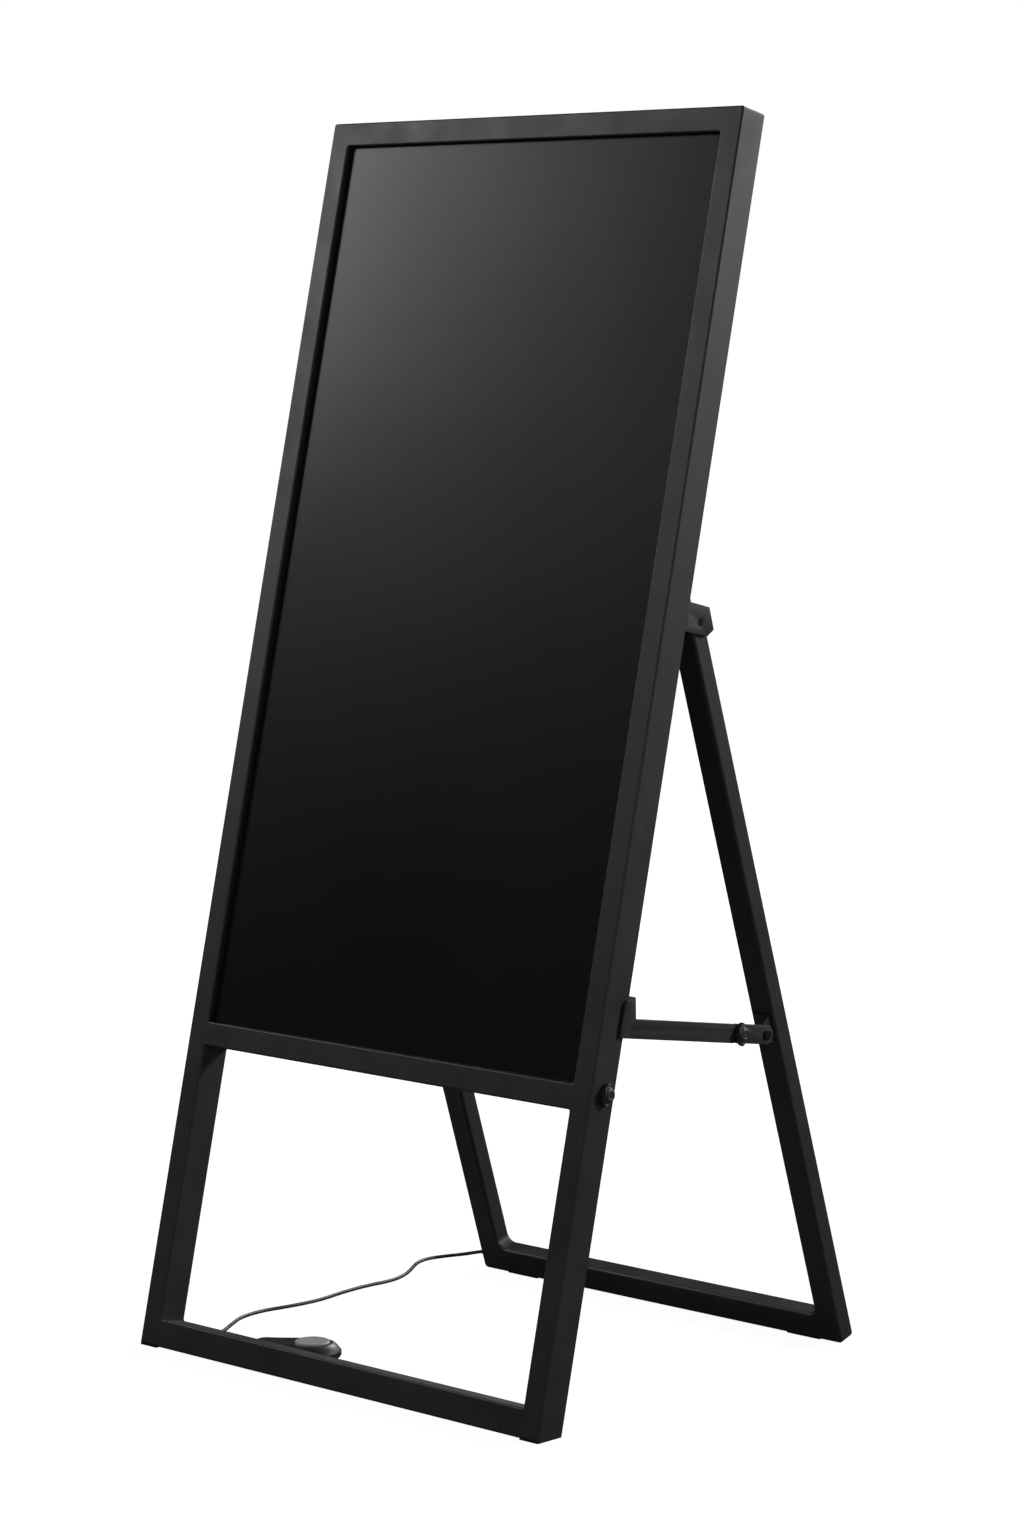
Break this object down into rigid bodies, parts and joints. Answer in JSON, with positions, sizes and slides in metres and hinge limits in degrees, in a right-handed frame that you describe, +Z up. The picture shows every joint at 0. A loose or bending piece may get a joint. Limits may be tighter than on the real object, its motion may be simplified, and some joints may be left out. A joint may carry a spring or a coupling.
{
  "type": "digital sandwich board",
  "caption": "Leaning tube frame with a tall portrait screen, held by a hinged rear leg frame and folding side stays, with a foot switch on a lead.",
  "frame": {"origin": "on the floor, in the middle of the footprint of the two frames", "axes": "+X to the board's right seen from the front, -Y is the screen side, +Z up"},
  "size_m": [0.6416, 0.5298, 1.3063],
  "materials": {
    "frame_coat": "satin charcoal powder coat",
    "cover_coat": "fine textured black powder coat",
    "screen_glass": "gloss toughened glass over a dark screen",
    "screen_panel": "switched-off screen",
    "backlight_unit": "light guide in a pressed tray",
    "unit_case": "plain case",
    "circuit_board": "green board with dark parts",
    "black_plastic": "moulded, fine grain",
    "switch_plastic": "moulded, soft sheen",
    "button_plastic": "moulded, fine grain",
    "bush_plastic": "plain bearing plastic",
    "soft_rubber": "moulded rubber",
    "lead_sheath": "smooth round sheath",
    "hardware_steel": "zinc plated",
    "dark_fastener": "black zinc",
    "contact_brass": "bright"
  },
  "bodies": {
    "front_frame": {"upright_left": "frame_coat", "upright_right": "frame_coat", "top_rail": "frame_coat", "middle_rail": "frame_coat", "bottom_rail": "frame_coat", "upright_foot_plugs": "black_plastic", "rail_inserts": "hardware_steel", "cover_glass": "screen_glass", "glass_gasket": "soft_rubber", "lcd_panel": "screen_panel", "backlight_tray": "backlight_unit", "screen_tabs": "frame_coat", "rear_cover": "cover_coat", "rear_cover_screws": "dark_fastener", "power_supply": "unit_case", "media_player": "unit_case", "driver_board": "circuit_board", "speakers": "black_plastic", "mains_inlet": "black_plastic", "inlet_pins": "contact_brass", "rocker_bezel": "black_plastic", "hinge_hood_left": "frame_coat", "hinge_hood_right": "frame_coat", "hinge_pins": "dark_fastener", "bracket_screws": "dark_fastener", "stay_saddle_left": "frame_coat", "stay_saddle_right": "frame_coat", "stay_front_rivets": "dark_fastener", "foot_switch_pad": "soft_rubber", "foot_switch_base": "switch_plastic", "foot_switch_housing": "switch_plastic", "foot_switch_spring": "hardware_steel", "foot_switch_contacts": "switch_plastic", "foot_switch_relief": "soft_rubber", "switch_lead": "lead_sheath"},
    "rear_legs": {"leg_left": "frame_coat", "leg_right": "frame_coat", "foot_bar": "frame_coat", "hinge_bushes": "bush_plastic", "leg_caps": "black_plastic", "rear_glides": "soft_rubber", "lead_grommet": "soft_rubber", "stay_lug_left": "frame_coat", "stay_lug_right": "frame_coat", "stay_rear_rivets": "dark_fastener"},
    "stay_long_arm_left": {"stay_long_arm_left": "frame_coat"},
    "stay_long_arm_right": {"stay_long_arm_right": "frame_coat"},
    "stay_short_arm_left": {"stay_short_arm_left": "frame_coat", "clamp_stud_left": "hardware_steel"},
    "stay_short_arm_right": {"stay_short_arm_right": "frame_coat", "clamp_stud_right": "hardware_steel"},
    "stay_knob_left": {"stay_knob_left": "black_plastic"},
    "stay_knob_right": {"stay_knob_right": "black_plastic"},
    "side_knob_left": {"side_knob_left": "black_plastic", "side_stud_left": "hardware_steel"},
    "side_knob_right": {"side_knob_right": "black_plastic", "side_stud_right": "hardware_steel"},
    "foot_switch_button": {"foot_switch_button": "button_plastic"},
    "power_rocker": {"power_rocker": "black_plastic"}
  },
  "joints": [
    {"name": "leg_fold", "type": "hinge", "parent": "front_frame", "child": "rear_legs", "pos_m": [0, 0.00149, 0.79031], "axis": [-1, 0, 0], "range_deg": [0, 27], "deforming": ["switch_lead"]},
    {"name": "stay_long_arm_left_swing", "type": "hinge", "parent": "front_frame", "child": "stay_long_arm_left", "pos_m": [-0.2664, -0.11694, 0.39071], "axis": [1, 0, 0], "range_deg": [0, 86.5]},
    {"name": "stay_short_arm_left_swing", "type": "hinge", "parent": "rear_legs", "child": "stay_short_arm_left", "pos_m": [-0.2621, 0.11509, 0.354], "axis": [1, 0, 0], "range_deg": [0, 116.6]},
    {"name": "stay_knob_left_turn", "type": "hinge", "parent": "stay_short_arm_left", "child": "stay_knob_left", "pos_m": [-0.2727, 0.0657, 0.36181], "axis": [-1, 0, 0], "continuous": true},
    {"name": "side_knob_left_turn", "type": "hinge", "parent": "front_frame", "child": "side_knob_left", "pos_m": [-0.295, -0.16758, 0.33363], "axis": [-1, 0, 0], "continuous": true},
    {"name": "stay_long_arm_right_swing", "type": "hinge", "parent": "front_frame", "child": "stay_long_arm_right", "pos_m": [0.2664, -0.11694, 0.39071], "axis": [1, 0, 0], "range_deg": [0, 86.5]},
    {"name": "stay_short_arm_right_swing", "type": "hinge", "parent": "rear_legs", "child": "stay_short_arm_right", "pos_m": [0.2621, 0.11509, 0.354], "axis": [1, 0, 0], "range_deg": [0, 116.6]},
    {"name": "stay_knob_right_turn", "type": "hinge", "parent": "stay_short_arm_right", "child": "stay_knob_right", "pos_m": [0.2727, 0.0657, 0.36181], "axis": [1, 0, 0], "continuous": true},
    {"name": "side_knob_right_turn", "type": "hinge", "parent": "front_frame", "child": "side_knob_right", "pos_m": [0.295, -0.16758, 0.33363], "axis": [1, 0, 0], "continuous": true},
    {"name": "foot_switch_press", "type": "slide", "parent": "front_frame", "child": "foot_switch_button", "axis": [0, 0, -1], "range_m": [0, 0.003], "stiffness_N_per_m": 1200, "springref_m": -0.003, "deforming": ["foot_switch_spring"]},
    {"name": "power_rocker_tilt", "type": "hinge", "parent": "front_frame", "child": "power_rocker", "pos_m": [0.092, -0.13474, 0.36916], "axis": [0, 0.9744, -0.225], "range_deg": [-18, 0]}
  ],
  "couplings": [
    {"joint": "stay_long_arm_left_swing", "follows": "leg_fold", "ratio": 3.2021},
    {"joint": "stay_short_arm_left_swing", "follows": "leg_fold", "ratio": 4.3164},
    {"joint": "stay_long_arm_right_swing", "follows": "leg_fold", "ratio": 3.2021},
    {"joint": "stay_short_arm_right_swing", "follows": "leg_fold", "ratio": 4.3164}
  ]
}
